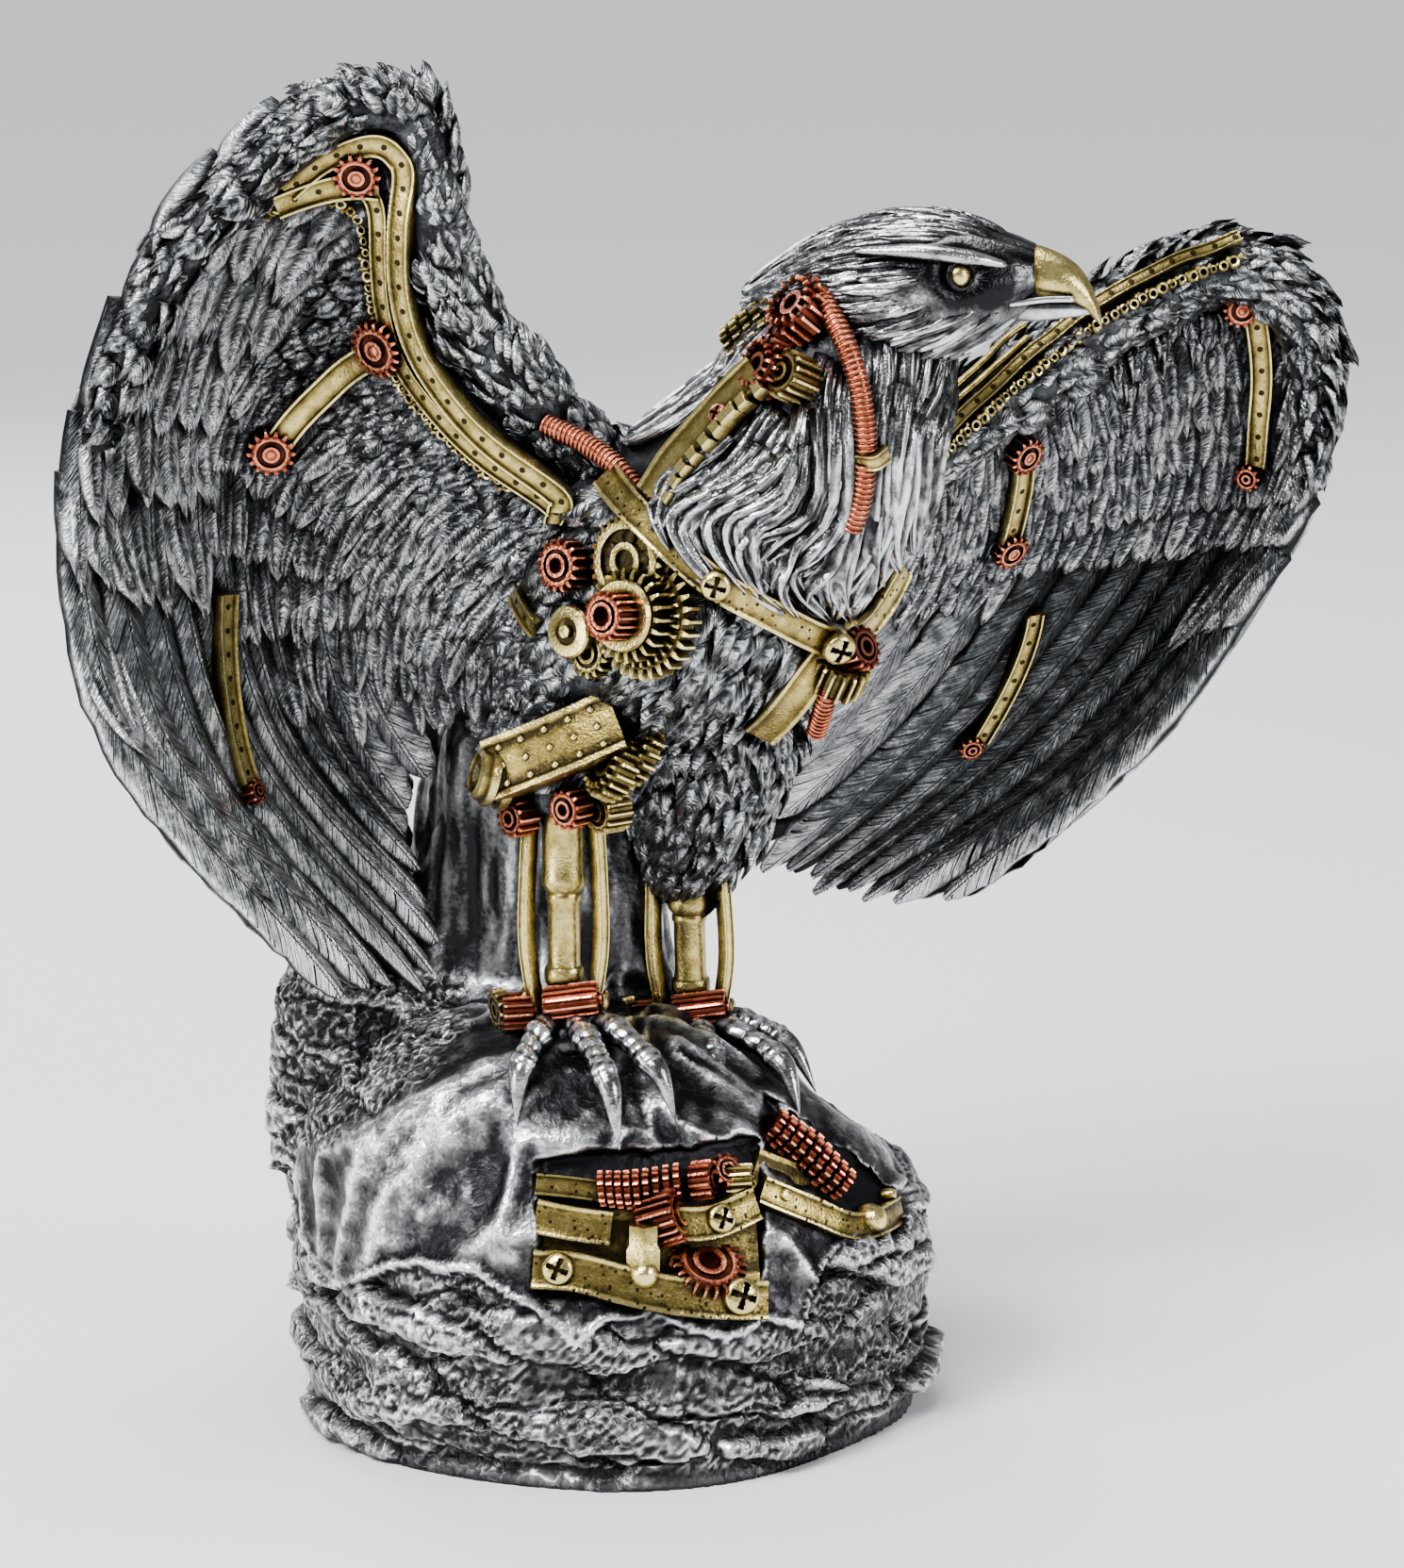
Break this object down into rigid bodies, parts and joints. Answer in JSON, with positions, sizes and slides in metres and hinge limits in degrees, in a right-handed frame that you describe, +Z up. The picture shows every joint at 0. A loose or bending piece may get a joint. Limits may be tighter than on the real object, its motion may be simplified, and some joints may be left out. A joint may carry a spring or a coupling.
{
  "type": "eagle figurine",
  "caption": "Table-top figurine of a mechanical-fantasy eagle with raised wings, gears, straps and piston legs, cast in one with its rock plinth.",
  "frame": {"origin": "middle of the rock plinth's flat underside", "axes": "+Z up, -Y out of the display front with the mechanism window, +X towards the side the eagle's beak points to"},
  "size_m": [0.2902, 0.156, 0.316],
  "materials": {
    "antique_silver": "antique silver over black, dry-brushed",
    "pale_brass": "pale brass with a dark wash",
    "aged_copper": "reddish copper with a dark wash"
  },
  "bodies": {
    "root": {"steampunk_eagle_figurine": "antique_silver"}
  },
  "joints": []
}
